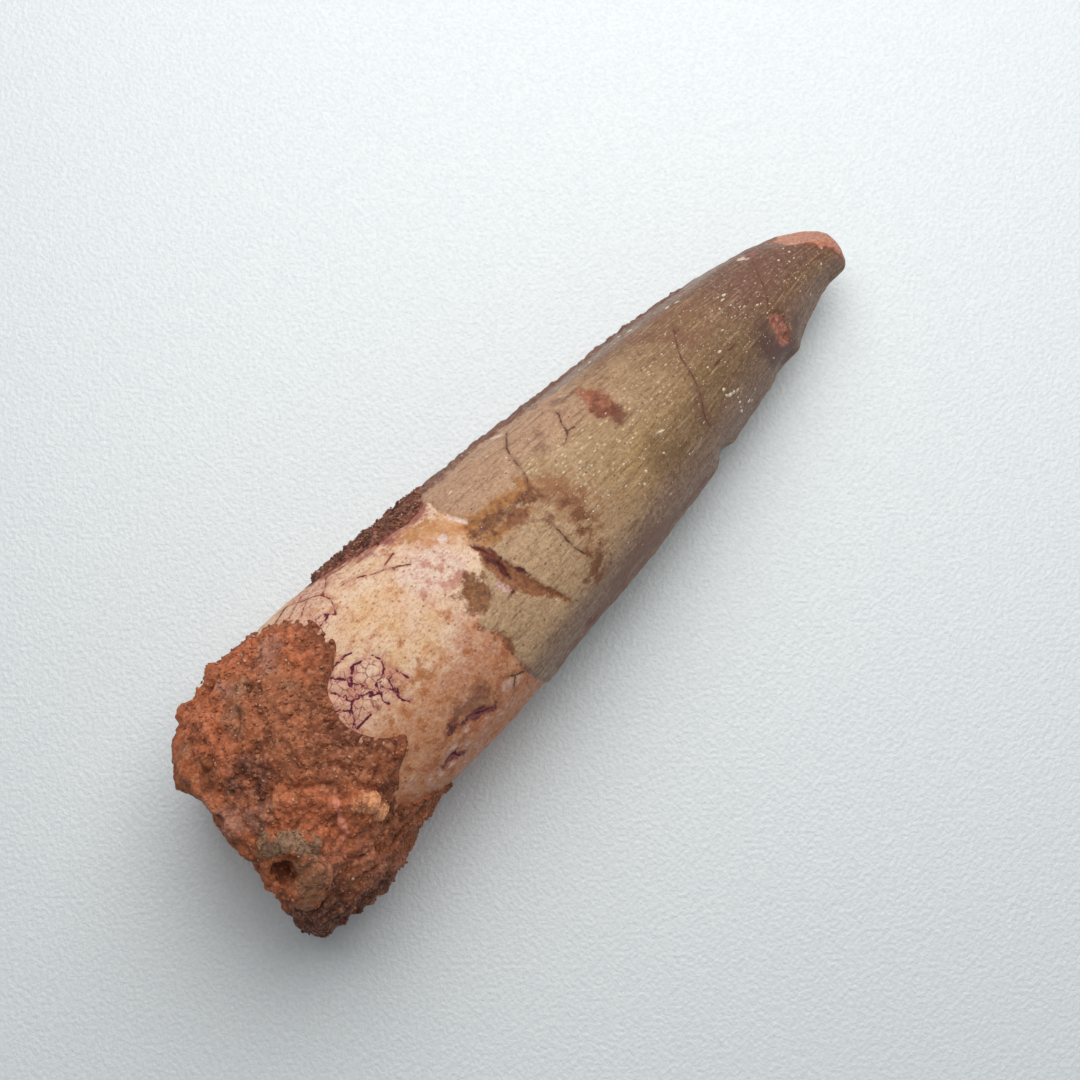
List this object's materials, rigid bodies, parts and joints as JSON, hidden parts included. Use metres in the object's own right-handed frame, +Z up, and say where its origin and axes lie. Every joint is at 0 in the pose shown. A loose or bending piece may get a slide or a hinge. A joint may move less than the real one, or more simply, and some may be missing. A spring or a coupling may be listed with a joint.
{
  "type": "spinosaurus tooth",
  "caption": "Long conical fossil tooth lying on its side, with a ridged enamel crown, a bare cracked root and a lump of reddish sandstone matrix round its broken end.",
  "frame": {"origin": "centre of the bottom of the bounding box, on the surface that the fossil lies on", "axes": "+X from the broken root towards the tip, +Y towards the convex front edge of the crown, +Z up"},
  "size_m": [0.0866, 0.0267, 0.0217],
  "materials": {
    "tooth": "worn enamel with a low sheen, matt on the bare root",
    "matrix": "matt, sandy",
    "crust": "matt, sandy"
  },
  "bodies": {
    "root": {"tooth": "tooth", "matrix": "matrix", "edge_crust": "crust"}
  },
  "joints": []
}
